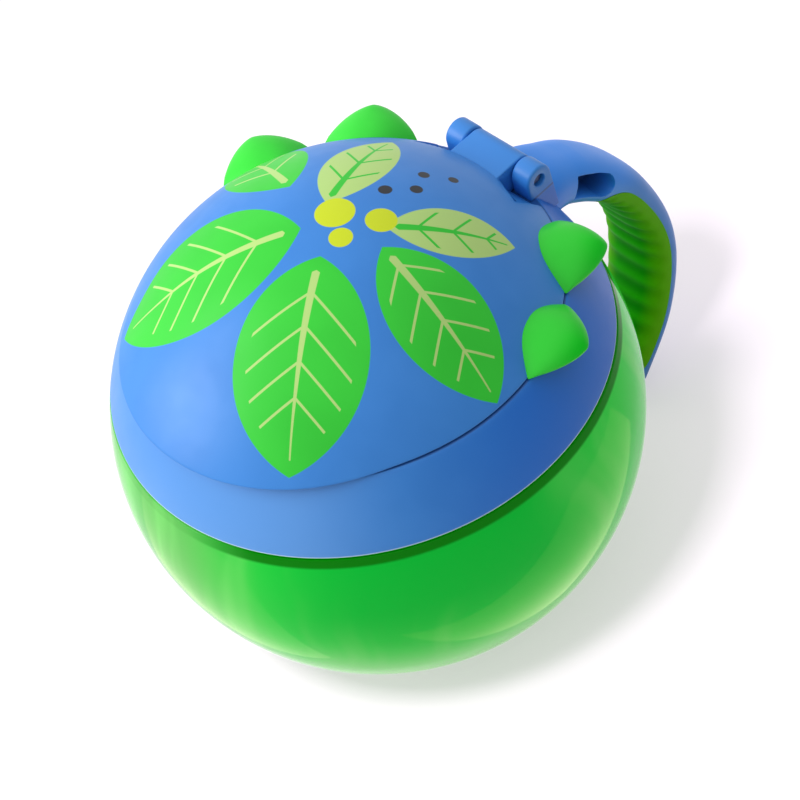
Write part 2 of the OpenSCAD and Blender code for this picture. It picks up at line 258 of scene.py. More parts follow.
class Finish:
    # the nodes of a new material, or of the world
    def __init__(self, owner):
        owner.use_nodes = True
        self.owner, self.tree = owner, owner.node_tree

    def node(self, kind, settings=None, sockets=None, out=0):
        made = self.tree.nodes.new(kind)
        for key, value in (settings or {}).items():
            setattr(made, key, value)
        pairs = enumerate(sockets) if isinstance(sockets, list) else (sockets or {}).items()
        for key, value in pairs:
            self.feed(made.inputs[key], value)
        return Wire(self, made.outputs[out])

    def feed(self, socket, value):
        if isinstance(value, Wire):
            self.tree.links.new(value.socket, socket)
        else:
            socket.default_value = value

    def set(self, **sockets):
        for key, value in sockets.items():
            self.feed(self.tree.nodes["Principled BSDF"].inputs[key.replace("_", " ")], value)

    def surface(self, value):
        self.feed(self.tree.nodes["Material Output"].inputs["Surface"], value)

    def math(self, operation, *values):
        return self.node("ShaderNodeMath", {"operation": operation}, list(values))

    def root(self, value):
        return self.math("SQRT", value)

    def split(self, vector):
        node = self.node("ShaderNodeSeparateXYZ", sockets=[vector]).socket.node
        return [Wire(self, output) for output in node.outputs]

    def where(self):
        return self.node("ShaderNodeTexCoord", out=3)

    def place(self, where):
        # object coordinates in mm from the ball's middle
        x, y, z = self.split(where)
        return x / mm, y / mm, z / mm - ballHeight

    def mark(self, name):
        # a value that the mesh carries at its points
        return self.node("ShaderNodeAttribute", {"attribute_name": name}, out=2)

    def noise(self, where, scale, detail=2.0):
        return self.node("ShaderNodeTexNoise", sockets={"Vector": where, "Scale": scale, "Detail": detail})

    def span(self, value, low, high, outLow=0.0, outHigh=1.0):
        # value carried smoothly from low..high to outLow..outHigh and held beyond
        return self.node("ShaderNodeMapRange", {"interpolation_type": "SMOOTHSTEP"},
                         [value, low, high, outLow, outHigh])

    def mix(self, factor, first, second):
        return self.node("ShaderNodeMix", {"data_type": "RGBA"}, {0: factor, 6: first, 7: second}, out=2)

    def bump(self, height, strength, distance):
        return self.node("ShaderNodeBump",
                         sockets={"Strength": strength, "Distance": distance, "Height": height})

    def either(self, *masks):
        total = masks[0]
        for mask in masks[1:]:
            total = self.math("MAXIMUM", total, mask)
        return total


def newFinish(name):
    return Finish(bpy.data.materials.new(name))


def shade(red, green, blue):
    # a screen colour, 0 to 255 each, as scene-linear RGBA
    linear = [((c / 255 + 0.055) / 1.055) ** 2.4 if c > 10 else c / 255 / 12.92 for c in (red, green, blue)]
    return (*linear, 1.0)


# Moulded blue plastic
blueLook = dict(
    colour=shade(52, 130, 212), cloud=shade(47, 125, 207), cloudScale=60.0,
    roughness=0.42, roughnessSpread=0.02, roughnessScale=240.0, specular=0.4,
    grainScale=1800.0, grainBump=0.02, grainDepth=0.00008,
    # painted light on the collar's lit side and painted shade on its far side, and where each sets in, in mm
    # towards the far side
    paintedLightSide=shade(84, 146, 218), paintedLightFrom=(-46.0, -18.0), paintedLightTo=(-12.0, 12.0), paintedLightLeast=0.5,
    paintedShadeSide=shade(0, 104, 205), shadeWay=(0.694, 0.693), paintedShadeFrom=(6.0, 38.0),
    paintedShadeTop=(27.0, 30.0),     # heights between which the far side's tone ends, below the ears
    # a painted highlight along the collar's thin lower edge
    lowEdge=shade(226, 244, 255), edgeHighlightShare=0.9, edgeHighlightSpan=(collarLow + 0.1, collarLow + 0.46),
    # painted shade darkens the joint between collar and lid
    seam=shade(34, 86, 158), seamLow=28.1, seamHigh=28.7,    # heights of the joint between collar and lid
    # painted light on the handle where it turns upwards, and painted shade in its side pockets, set by how
    # deep they are pressed
    topLight=shade(52, 142, 243), topLightFrom=(4.0, 12.0),
    pocket=shade(22, 44, 84), pocketShare=0.8,
)
# the pin's dark navy is painted shade of the hole in the ear where it sits
pinLook = dict(colour=shade(20, 48, 96), cloud=shade(28, 60, 112), cloudScale=900.0, roughness=0.45)


def addBlue(finish, where, s):
    spread = s["roughnessSpread"]
    fine = finish.noise(where, s["roughnessScale"])
    finish.set(Roughness=finish.span(fine, 0.3, 0.7, s["roughness"] - spread, s["roughness"] + spread),
               Specular_IOR_Level=s["specular"],
               Normal=finish.bump(finish.noise(where, s["grainScale"]), s["grainBump"], s["grainDepth"]))
    cloud = finish.noise(where, s["cloudScale"], 3.0)
    return finish.mix(finish.span(cloud, 0.35, 0.65), s["colour"], s["cloud"])


def addSeamShade(finish, z, ground, s):
    # painted shade, darker towards the open joint between collar and lid
    middle = (s["seamLow"] + s["seamHigh"]) / 2
    half = (s["seamHigh"] - s["seamLow"]) / 2
    return finish.mix(finish.span(abs(z - middle), half * 0.55, half, 1.0, 0.0), ground, s["seam"])


def bluePlastic():
    finish = newFinish("bluePlastic")
    where = finish.where()
    x, y, z = finish.place(where)
    s = blueLook
    ground = addBlue(finish, where, s)
    # painted light on the side towards the lamps and painted shade on the far side, set by distance along the
    # way to the far side
    way = x * s["shadeWay"][0] + y * s["shadeWay"][1]
    light = finish.span(way, *s["paintedLightFrom"], s["paintedLightLeast"], 1.0)
    light = light * finish.span(way, *s["paintedLightTo"], 1.0, 0.0)
    ground = finish.mix(light, ground, s["paintedLightSide"])
    far = finish.span(way, *s["paintedShadeFrom"]) * finish.span(z, *s["paintedShadeTop"], 1.0, 0.0)
    ground = addSeamShade(finish, z, finish.mix(far, ground, s["paintedShadeSide"]), s)
    # painted highlight along the collar's lower edge
    edge = finish.span(z, *s["edgeHighlightSpan"], s["edgeHighlightShare"], 0.0)
    finish.set(Base_Color=finish.mix(edge, ground, s["lowEdge"]))
    return finish.owner


def handlePlastic():
    finish = newFinish("handlePlastic")
    where = finish.where()
    z = finish.place(where)[2]
    s = blueLook
    # painted light where the handle turns upwards
    ground = finish.mix(finish.span(z, *s["topLightFrom"]), addBlue(finish, where, s), s["topLight"])
    # painted shade in the side pockets, by how deep each point is pressed
    finish.set(Base_Color=finish.mix(finish.mark("pocketDepth") * s["pocketShare"], ground, s["pocket"]))
    return finish.owner


def pinPlastic():
    finish = newFinish("pinPlastic")
    s = pinLook
    cloud = finish.noise(finish.where(), s["cloudScale"])
    finish.set(Base_Color=finish.mix(cloud, s["colour"], s["cloud"]), Roughness=s["roughness"])
    return finish.owner


# Printed lid
# a leaf is its middle (u, v) in mm of flattened dome, the way of its tip in degrees, its length and width;
# a berry or a seed is its middle and radius
printLook = dict(
    leaves=[(-16.8, -18.2, 230.0, 42.0, 26.0), (14.2, -21.9, 300.0, 40.0, 26.0),
            (28.5, 1.5, 352.0, 35.0, 19.0), (-29.0, 9.5, 163.0, 31.0, 17.0)],
    paleLeaves=[(-9.0, 17.5, 112.0, 27.0, 13.0), (16.5, 16.5, 47.0, 24.0, 11.5)],
    berries=[(-1.0, 4.2, 3.7), (6.6, 8.3, 2.9), (4.2, 0.6, 2.2)],
    seeds=[(1.2, 14.5, 1.3), (4.6, 19.0, 1.2), (1.8, 23.6, 1.1), (5.6, 27.6, 1.0)],
    leaf=shade(40, 200, 42), leafDeep=shade(32, 192, 36), leafScale=45.0,
    pale=shade(175, 210, 120), vein=shade(175, 210, 120),
    berry=shade(200, 215, 0), seed=shade(20, 25, 35),
    edge=0.1,                          # mm over which a printed edge fades
    midribBase=0.75, midribTip=0.15,   # half widths
    sideHalf=0.32, sidePitch=6.4, sideSlant=0.85,
    sideFrom=-0.8, sideTo=0.58,        # shares of the half leaf between which side veins branch off
    veinInset=0.2,                     # share of the half width that veins keep clear of the leaf's edge
)


def addLeaf(finish, u, v, leaf, s, inside):
    # two equal arcs that meet at base and tip; a tapering midrib; straight side veins at an even pitch
    cu, cv, turn, long, wide = leaf
    c, d = math.cos(math.radians(turn)), math.sin(math.radians(turn))
    along = (u - cu) * c + (v - cv) * d
    across = abs((v - cv) * c - (u - cu) * d)
    half, side = long / 2, wide / 2
    radius = (half * half + side * side) / (2 * side)
    offset = across + (radius - side)
    shape = finish.root(along * along + offset * offset) - radius
    midrib = across - finish.span(along, -half, half, s["midribBase"], s["midribTip"])
    # side veins stand at whole steps of the pitch
    pitch = s["sidePitch"]
    first, last = math.ceil(s["sideFrom"] * half / pitch), math.floor(s["sideTo"] * half / pitch)
    slant = along - across * s["sideSlant"]
    farBack = 50 * pitch    # keeps the value above zero
    nearest = finish.math("PINGPONG", slant + farBack, pitch / 2) - s["sideHalf"]
    within = abs(slant - (first + last) * pitch / 2) - (last - first + 1) * pitch / 2
    sides = inside(nearest) * inside(within)
    return inside(shape), finish.either(inside(midrib), sides) * inside(shape + side * s["veinInset"])


def addPrint(finish, where, x, y, z, ground, s):
    # the dome laid flat: the same way from the top, at a distance equal to the arc
    tiny = 0.0001    # keeps the top's own distance above zero
    rho = finish.root(x * x + y * y + tiny)
    arc = finish.math("ARCTAN2", rho, z) * ballRadius
    u, v = x * arc / rho, y * arc / rho

    def inside(distance):
        return finish.span(distance, -s["edge"], s["edge"], 1.0, 0.0)

    cloud = finish.span(finish.noise(where, s["leafScale"]), 0.35, 0.65)
    fresh = finish.mix(cloud, s["leaf"], s["leafDeep"])
    for leaves, body, vein in ((s["paleLeaves"], s["pale"], s["leafDeep"]), (s["leaves"], fresh, s["vein"])):
        for leaf in leaves:
            mask, veins = addLeaf(finish, u, v, leaf, s, inside)
            ground = finish.mix(veins, finish.mix(mask, ground, body), vein)
    for dots, colour in ((s["berries"], s["berry"]), (s["seeds"], s["seed"])):
        masks = [inside(finish.root((u - cu) * (u - cu) + (v - cv) * (v - cv)) - radius)
                 for cu, cv, radius in dots]
        ground = finish.mix(finish.either(*masks), ground, colour)
    return ground


def lidPlastic():
    finish = newFinish("lidPlastic")
    where = finish.where()
    x, y, z = finish.place(where)
    plain = addBlue(finish, where, blueLook)
    printed = addPrint(finish, where, x, y, z, plain, printLook)
    ground = finish.mix(finish.mark("outerSide"), plain, printed)
    finish.set(Base_Color=addSeamShade(finish, z, ground, blueLook))
    return finish.owner


# Clear green plastic
bowlLook = dict(
    roughness=0.06, roughnessLess=0.02, roughnessMore=0.04, scuffScale=300.0,
    # glow: the bowl gives off light in its own colours, a painted glow
    clear=0.1, bend=1.36, specular=0.07, glow=0.25,
    waveScale=110.0, waveBump=0.04, waveDepth=0.0002,
    drift=9.0, driftScale=22.0, driftTurn=1.6,    # mm that the tones wander, and degrees for each of them
    # painted light: paler towards the bottom, where the floor's light comes through
    pale=shade(140, 212, 120), middle=shade(40, 198, 60), middleFrom=(-32.0, -6.0),
    # painted dark reflection: heights, and degrees round from the front, where the deep tone sets in and ends
    deep=shade(0, 180, 50), deepHigh=(-18.0, 2.0), deepFrom=(2.0, 44.0), deepTo=(80.0, 112.0),
    # a painted pale reflection of light on the side towards -X
    side=shade(98, 160, 84), sideShare=0.7, sideFrom=(-170.0, -90.0), sideTo=(-4.0, 26.0),
    # painted highlight streaks
    streak=shade(112, 206, 100), streakShare=0.6, streakSpan=(0.44, 0.74), streakDrift=0.3,
    streakWidth=11.0, streakLength=60.0,    # degrees round, and mm of height
    # painted dark reflection in the step under the collar, on the outside alone, and where it grows clear
    # towards +X
    band=shade(0, 116, 0), bandLow=12.7, bandLowEdge=0.35, bandHigh=14.7, bandHighEdge=0.1,
    bandFrom=(0.0, 18.0), bandLeast=0.15,
    skinInner=0.6, skinOuter=0.3,    # depths under the outside between which the band sets in
)


def bowlPlastic():
    finish = newFinish("bowlPlastic")
    where = finish.where()
    x, y, z = finish.place(where)
    s = bowlLook
    drift = (finish.noise(where, s["driftScale"], 1.0) - 0.5) * s["drift"]
    around = finish.math("ARCTAN2", x, -y) * (180 / math.pi) + drift * s["driftTurn"]
    # painted light, paler towards the bottom
    colour = finish.mix(finish.span(z + drift, *s["middleFrom"]), s["pale"], s["middle"])
    # painted dark reflection towards +X
    darkReflection = (finish.span(z + drift, *s["deepHigh"]) * finish.span(around, *s["deepFrom"])
             * finish.span(around, *s["deepTo"], 1.0, 0.0))
    colour = finish.mix(darkReflection, colour, s["deep"])
    # painted pale reflection of light towards -X
    light = finish.span(around, *s["sideFrom"]) * finish.span(around, *s["sideTo"], s["sideShare"], 0.0)
    colour = finish.mix(light, colour, s["side"])
    # painted highlight streaks
    flow = finish.node("ShaderNodeCombineXYZ", sockets=[
        around / s["streakWidth"] + drift * s["streakDrift"], z / s["streakLength"], 0.0])
    highlightStreaks = finish.span(finish.noise(flow, 1.0), *s["streakSpan"], 0.0, s["streakShare"]) * (1 - darkReflection)
    colour = finish.mix(highlightStreaks, colour, s["streak"])
    # painted dark reflection in the step under the collar
    low, lowEdge, high, highEdge = (s[key] for key in ("bandLow", "bandLowEdge", "bandHigh", "bandHighEdge"))
    underCollarReflection = (finish.span(z, low - lowEdge, low + lowEdge)
              * finish.span(z, high - highEdge, high + highEdge, 1.0, 0.0)
              * finish.span(x, *s["bandFrom"], s["bandLeast"], 1.0))
    distance = finish.root(x * x + y * y + z * z)
    outer = finish.span(distance, ballRadius - s["skinInner"], ballRadius - s["skinOuter"])
    colour = finish.mix(underCollarReflection * outer, colour, s["band"])
    scuff = finish.noise(where, s["scuffScale"], 3.0)
    # the emission is a painted glow in the bowl's own colours
    finish.set(Base_Color=colour,
               Roughness=finish.span(scuff, 0.35, 0.75, s["roughness"] - s["roughnessLess"],
                                     s["roughness"] + s["roughnessMore"]),
               Transmission_Weight=s["clear"], IOR=s["bend"], Specular_IOR_Level=s["specular"],
               Emission_Color=colour, Emission_Strength=s["glow"],
               Normal=finish.bump(finish.noise(where, s["waveScale"]), s["waveBump"], s["waveDepth"]))
    return finish.owner


# Soft green rubbers
rubberLook = dict(
    # the fin's tip tone is painted shade where its outer edge turns away from the light
    fin=dict(light=shade(56, 212, 60), dark=shade(46, 202, 52), roughness=0.4, specular=0.15,
             tip=shade(0, 208, 28), tipFrom=(42.0, 47.5)),    # mm from the upright axis
    flap=dict(light=shade(50, 196, 60), dark=shade(38, 172, 48), roughness=0.5, specular=0.15),
    # the grip has painted shade in the valleys of its ribs and is yellower towards its sides
    grip=dict(light=shade(36, 172, 4), dark=shade(6, 138, 0), roughness=0.5, specular=0.06,
              side=shade(108, 182, 0), sideFrom=(3.0, 7.6), sideShare=0.8, ribs="ribHeight"),
    cloudScale=130.0, cloudShare=0.35, skinScale=1900.0, skinBump=0.16, skinDepth=0.00006,
)


def rubber(kind):
    finish = newFinish(kind + "Rubber")
    where = finish.where()
    x, y, z = finish.place(where)
    look, s = rubberLook, rubberLook[kind]
    # for the grip, painted shade in the valleys of its ribs; for the others, a random cloud
    if "ribs" in s:
        cloudOrRibShade = 1 - finish.mark(s["ribs"])
    else:
        cloudOrRibShade = finish.span(finish.noise(where, look["cloudScale"], 3.0), 0.3, 0.7, 0.0, look["cloudShare"])
    colour = finish.mix(cloudOrRibShade, s["light"], s["dark"])
    if "side" in s:
        colour = finish.mix(finish.span(abs(x), *s["sideFrom"], 0.0, s["sideShare"]), colour, s["side"])
    # painted shade towards the fin's outer edge
    if "tip" in s:
        colour = finish.mix(finish.span(finish.root(x * x + y * y), *s["tipFrom"]), colour, s["tip"])
    skin = finish.noise(where, look["skinScale"])
    finish.set(Base_Color=colour, Roughness=s["roughness"], Specular_IOR_Level=s["specular"],
               Normal=finish.bump(skin, look["skinBump"], look["skinDepth"]))
    return finish.owner


blue, lidBlue, handleBlue, pinBlue = bluePlastic(), lidPlastic(), handlePlastic(), pinPlastic()
bowlGreen = bowlPlastic()
finGreen, flapGreen, gripGreen = rubber("fin"), rubber("flap"), rubber("grip")
print("materials made")

turnAngles = np.linspace(0, 2 * math.pi, 360, endpoint=False)

# Bowl
bowlSizes = dict(
    base=-ballHeight, footIn=13.5, footOut=14.7, footRise=0.7, footEdge=0.4, footBend=1.4,
    rim=14.45, rimBend=0.35, wall=2.2, floor=2.4 - ballHeight, floorBend=1.2,
    neckOut=40.618, neckIn=38.618, neckTop=neckTop, neckBend=0.4,
    lugs=4, lugLow=17.55, lugTop=19.55, lugOut=42.218, lugHalf=7.0, lugBend=0.4, lugSink=0.8,
)


def bowlGrids(s):
    innerBall, innerTop = ballRadius - s["wall"], s["rim"] - s["wall"]
    foot = s["base"] + s["footRise"]
    profile = softened(
        [(0, foot), (s["footIn"], foot, 0.8), (s["footOut"], s["base"], 0.6),
         (onBall(s["base"], ballRadius) - s["footEdge"], s["base"], s["footBend"])]
        + ballArc(s["base"] + 0.5, s["rim"] - s["rimBend"], 90, ballRadius)
        + [(onBall(s["rim"], ballRadius), s["rim"], 0.3), (s["neckOut"], s["rim"], 0.15),
           (s["neckOut"], s["neckTop"], s["neckBend"]), (s["neckIn"], s["neckTop"], s["neckBend"]),
           (s["neckIn"], innerTop, 0.3)]
        + ballArc(innerTop, s["floor"] + 0.6, 70, innerBall)
        + [(onBall(s["floor"], innerBall) - s["floorBend"], s["floor"], s["floorBend"]), (0, s["floor"])])
    root = s["neckOut"] - s["lugSink"]
    lug = softened([(root, s["lugLow"], 0), (s["lugOut"], s["lugLow"], s["lugBend"]),
                    (s["lugOut"], s["lugTop"], s["lugBend"]), (root, s["lugTop"], 0)], closed=True)
    lugs = [(capped(arcBar(lug, 90 + k * 360 / s["lugs"], s["lugHalf"])), False, True)
            for k in range(s["lugs"])]
    return [(spin(profile, turnAngles), False, True)] + lugs


makePiece("bowlShell", bowlGrids(bowlSizes), "bowl", ["bowl"], bowlGreen)

# Collar with its ears
collarSizes = dict(
    low=collarLow, top=28.25, edge=0.45, outerBend=0.4,
    bore=40.918, groove=42.518, grooveTop=19.85, ledge=23.65,
    mouth=32.635, rimOut=34.235, rimTop=30.4, rimBend=0.5,
    earIn=6.3, earOut=10.7, earRadius=3.0, earLeg=22.5, earEdge=0.5, pinBore=1.26,
    pinY=40.476, pinZ=31.5,
)


def collarGrids(s):
    arc = ballArc(s["low"] + s["edge"], s["top"] - s["edge"], 40, ballRadius)
    profile = softened(
        [(onBall(s["low"], ballRadius) - 0.06, s["low"], s["outerBend"])] + arc
        + [(onBall(s["top"], ballRadius) - 0.1, s["top"], s["edge"]), (s["rimOut"], s["top"], s["outerBend"]),
           (s["rimOut"], s["rimTop"], s["rimBend"]), (s["mouth"], s["rimTop"], s["rimBend"]),
           (s["mouth"], s["ledge"], 0.3), (s["bore"], s["ledge"], 0), (s["bore"], s["grooveTop"], 0.2),
           (s["groove"], s["grooveTop"], 0), (s["groove"], s["low"], s["outerBend"])], closed=True)
    a = np.radians(np.linspace(0, 180, 40))
    y, z, r = s["pinY"], s["pinZ"], s["earRadius"]
    ear = np.vstack([np.column_stack([y + r * np.cos(a), z + r * np.sin(a)]),
                     [[y - r, s["earLeg"]], [y + r, s["earLeg"]]]])
    ears = [(sideways(ear, x0, x1, s["earEdge"], (y, z), s["pinBore"], 240), True, True)
            for x0, x1 in ((s["earIn"], s["earOut"]), (-s["earOut"], -s["earIn"]))]
    return [(spin(profile, turnAngles), True, True)] + ears


makePiece("collarBody", collarGrids(collarSizes), "collar", ["collar"], blue)

# Hinge pin
pinSizes = dict(half=9.9, radius=1.24, edge=0.3)


def pinGrid(s, hinge):
    # stations (x, radius) along the pin, each one circle
    half, radius, edge = s["half"], s["radius"], s["edge"]
    stations = np.array([(-half, 0), (-half, radius - edge), (-half + edge, radius),
                         (half - edge, radius), (half, radius - edge), (half, 0)])
    a = np.linspace(0, 2 * math.pi, 48, endpoint=False)
    x, r = stations[:, :1], stations[:, 1:]
    return np.stack([x + 0 * a, hinge["pinY"] + r * np.cos(a), hinge["pinZ"] + r * np.sin(a)], -1)


makePiece("hingePin", [(pinGrid(pinSizes, collarSizes), False, True)], "collar", ["hinge_pin"],
          pinBlue)
print("bowl and collar made")

# Lid
lidSizes = dict(
    low=28.55, wall=2.2, edge=0.4, innerRim=37.335,
    rimScan=(34.0, 46.5, 0.02),    # distances from the axis among which the rim is looked for
    # shares of the way out to the rim, with how many rings lie between them
    outerRings=((0, 0.76, 34), (0.76, 1, 78)), innerRings=((1, 0.93, 26), (0.93, 0.84, 14), (0.84, 0, 24)),
    lipRadius=47.56, lipShift=7.6, lipDrop=2.0, lipBlend=0.8,
    notchIn=5.95, notchOut=13.3, notchFront=32.38, notchBack=37.18,
    notchTop=34.34, notchSlant=2.9, notchEdge=0.3,
    # degrees from the rear where the sides of the notches stand
    notchSides=((8.1, 10.3), (18.9, 23.4)), notchClear=((7.9, 10.4), (18.7, 23.5)),
    padHalf=15.5, padFront=35.435, padTop=31.0, padShelf=3.0, padFrom=(0, 5),
    knuckleHalf=6.0, knuckleRadius=2.8, knuckleEdge=0.35, knuckleBore=1.31,
    knuckleLeg=[(35.7, 28.62), (35.7, 31.2), (33.4, 31.5), (33.4, 34.3)],
    catchHalf=14.0, catchTop=30.15, catchIn=34.55, catchBend=0.5,
)


def lidTop(x, y, s):
    # outer height: dome and front lip run together, less a sloped notch on each side of the knuckle
    dome = np.sqrt(np.maximum(ballRadius ** 2 - x * x - y * y, 1))
    lip = np.sqrt(np.maximum(s["lipRadius"] ** 2 - x * x - (y + s["lipShift"]) ** 2, 1)) - s["lipDrop"]
    height = softMax(dome, lip, s["lipBlend"])
    side = np.abs(x)
    front = s["notchFront"] + s["notchSlant"] * (1 - (side - s["notchIn"]) / (s["notchOut"] - s["notchIn"]))
    fall = (s["notchTop"] - s["low"]) / (s["notchBack"] - s["notchFront"])
    floor = s["notchTop"] - (y - s["notchFront"]) * fall
    e = s["notchEdge"]
    mask = (smoothStep(side, s["notchIn"] - e, s["notchIn"])
            * (1 - smoothStep(side, s["notchOut"] - e, s["notchOut"]))
            * smoothStep(y, front - e / 2, front + e / 2))
    return height - np.maximum(height - floor, 0) * mask


def lidUnder(x, y, s):
    # inner height: a smaller ball, with the thick pad behind the hinge let down from it
    ball = np.sqrt(np.maximum((ballRadius - s["wall"]) ** 2 - x * x - y * y, 1))
    pad = s["padTop"] + np.maximum(0, s["padFront"] - s["padShelf"] - y)
    pad = pad + (s["low"] - pad) * smoothStep(y, s["padFront"] - 0.1, s["padFront"] + 0.1)
    inPad = 1 - smoothStep(np.abs(x), s["padHalf"] - 0.3, s["padHalf"])
    return ball - np.maximum(ball - pad, 0) * inPad * smoothStep(y, *s["padFrom"])


def lidAngles(s):
    # even columns all round, with close ones where the sides of the notches stand
    close = np.concatenate([np.arange(low, high, 0.12) for low, high in s["notchSides"]])
    even = np.arange(0, 360, 1.6)
    fromRear = np.abs(even - 180)
    taken = np.any([(low < fromRear) & (fromRear < high) for low, high in s["notchClear"]], axis=0)
    return np.radians(np.sort(np.concatenate([even[~taken], 180 - close, 180 + close])))


def lidShellGrid(s):
    a = lidAngles(s)
    sine, cosine = np.sin(a), -np.cos(a)

    def surface(rho, height):
        return np.stack([rho * sine, rho * cosine, height], -1)

    # the rim is where the outer surface comes down to the lid's lower edge
    scan = np.arange(*s["rimScan"])[:, None]
    low = lidTop(scan * sine, scan * cosine, s) < s["low"] + 0.02
    rim = scan[low.argmax(0), 0]
    rho = steps(*s["outerRings"])[:, None] * (rim - s["edge"])
    outer = surface(rho, lidTop(rho * sine, rho * cosine, s))
    flat = s["low"] + 0 * a
    t = np.linspace(0, 1, 6)[1:, None, None]
    bend = quadCurve(outer[-1], surface(rim, flat), surface(rim - s["edge"], flat), t)
    rho = steps(*s["innerRings"])[:, None] * np.minimum(s["innerRim"], rim - 0.6)
    height = lidUnder(rho * sine, rho * cosine, s)
    height[0] = s["low"]
    shell = np.concatenate([outer, bend, surface(rho, height)])
    return shell, len(outer)


def lidGrids(s):
    # the shell, knuckle and catch, and a mark that is 1 on the shell's outside
    shell, outerRows = lidShellGrid(s)
    y, z, r = collarSizes["pinY"], collarSizes["pinZ"], s["knuckleRadius"]
    b = np.radians(np.linspace(90, -90, 40))
    outline = np.vstack([np.column_stack([y + r * np.cos(b), z + r * np.sin(b)]), s["knuckleLeg"]])
    half = s["knuckleHalf"]
    knuckle = sideways(outline, -half, half, s["knuckleEdge"], (y, z), s["knuckleBore"], 260)
    root = s["low"] + 0.05
    top, bend = s["catchTop"], s["catchBend"]
    rib = softened([(s["innerRim"] + 0.5, root, 0), (s["innerRim"] - 0.3, top, 0),
                    (s["catchIn"], top, bend), (s["catchIn"], root, bend)], closed=True)
    rib = capped(arcBar(rib, 0, s["catchHalf"], 40))
    marks = [np.zeros(grid.shape[:2]) for grid in (shell, knuckle, rib)]
    marks[0][:outerRows] = 1
    outside = np.concatenate([mark.ravel() for mark in marks])
    return [(shell, False, True), (knuckle, True, True), (rib, False, True)], outside


grids, onOutside = lidGrids(lidSizes)
makePiece("lidShell", grids, "lid", ["lid"], lidBlue, marks={"outerSide": onOutside})
print("lid made")

# Soft fins on the lid's rear rim
finSizes = dict(
    width=25.4, rise=4.6, edge=0.7, seat=0.03, risePower=2.4, outPower=1.45,
    crownOut=0.86, crownDrop=0.06,     # where the upper arch is drawn to, as shares of its run and fall
    # piece, node, degrees round from the front, reach in mm, side
    places=[("finFrontRight", "fin_front_right", 112.4, 7.0, 1),
            ("finFrontLeft", "fin_front_left", 112.4, 7.0, -1),
            ("finRearRight", "fin_rear_right", 141.4, 7.8, 1),
            ("finRearLeft", "fin_rear_left", 141.4, 7.8, -1)],
)


def finGrid(direction, out, side, s):
    # radial sections: from a point on the dome, over a quadratic arch, round the tip and back under
    u = (1 - np.cos(np.linspace(0, math.pi, 90))) / 2
    u = (0.004 + 0.992 * u)[:, None]
    low, seat = lidSizes["low"], ballRadius + s["seat"]
    angle = np.radians(side * (direction + (u - 0.5) * s["width"]))

    def plump(power):
        return 1 - np.abs(2 * u - 1) ** power

    topZ = low + 0.1 + s["rise"] * plump(s["risePower"])
    topR = np.sqrt(seat ** 2 - topZ ** 2)
    footR = math.sqrt(seat ** 2 - low ** 2) + 0 * u
    tipR = footR + 0.15 + out * plump(s["outPower"])
    ease = np.minimum(s["edge"], 0.45 * (tipR - footR))
    tipZ = low + ease
    overR = topR + s["crownOut"] * (tipR - topR)
    overZ = topZ - s["crownDrop"] * (topZ - tipZ)
    v = np.linspace(0, 1, 26)[None]
    w = np.linspace(0, 1, 7)[None, 1:]
    f = np.linspace(0, 1, 6)[None, 1:]
    backZ = low + (topZ - low) * f[:, :-1]
    r = np.hstack([quadCurve(topR, overR, tipR, v), quadCurve(tipR, tipR, tipR - ease, w),
                   (tipR - ease) + (footR - tipR + ease) * f, np.sqrt(seat ** 2 - backZ ** 2)])
    z = np.hstack([quadCurve(topZ, overZ, tipZ, v), quadCurve(tipZ, low, low, w), low + 0 * u * f, backZ])
    return np.stack([r * np.sin(angle), -r * np.cos(angle), z], -1)


for name, node, direction, out, side in finSizes["places"]:
    grid = capped(finGrid(direction, out, side, finSizes))
    makePiece(name, [(grid, False, True)], "lid", [node], finGreen, 50)
print("fins made")

# Handle and its ribbed grip
handleSizes = dict(
    # the handle's middle line: degrees over the ball's middle, and share of the full stand-off;
    # a place on it is a number t, with the whole numbers at these points
    route=[(31, -0.33), (21.5, 0.1), (12.3, 0.43), (2, 0.72), (-11, 0.955), (-25, 0.995), (-39.8, 0.89)],
    reach=21.0, start=0.7, last=6.0, tipFrom=5.79, tipCuts=26,
    cuts=[(0.7, 1.2, 0.05), (1.2, 2.2, 0.018), (2.2, 5.45, 0.03), (5.45, 5.79, 0.014)],    # from, to, step
    rootWidth=14.6, gripWidth=15.8, tipWidth=14.0, widenFrom=1.5, widenBy=1.5, narrowFrom=4.2, narrowBy=1.8,
    rootThick=9.8, tipThick=7.4, thinFrom=1.6, thinBy=2.4,
    power=0.77, flare=0.7 / 6, flareTo=1.35,
    ballGap=0.3,
    pocketFrom=1.28, pocketLength=8.0, pocketMiddle=0.3, pocketHalf=2.3, pocketFloor=1.0, pocketEdge=0.55,
    gripFrom=2.1, gripTo=5.8, gripRamp=0.62, gripEndRamp=0.24, partingEdge=0.3, partingEase=0.008,
    ribs=14, ribDepth=0.45, ribPower=2.2,
)


def between(a, b, u):
    return a + (b - a) * np.clip(u, 0, 1)


def handleRoute(t, s):
    # smooth cubic curve through the route's points
    angle, share = np.radians([p[0] for p in s["route"]]), np.array([p[1] for p in s["route"]])
    r = ballRadius + share * s["reach"]
    p = np.column_stack([r * np.cos(angle), r * np.sin(angle)])
    p = np.vstack([2 * p[0] - p[1], p, 2 * p[-1] - p[-2]])
    i = np.clip(np.floor(t).astype(int), 0, len(p) - 4)
    u = (t - i)[:, None]
    a, b, c, d = p[i], p[i + 1], p[i + 2], p[i + 3]
    curve = (2 * a - 5 * b + 4 * c - d) * u ** 2 + (3 * b - a - 3 * c + d) * u ** 3
    return 0.5 * (2 * b + (c - a) * u + curve)


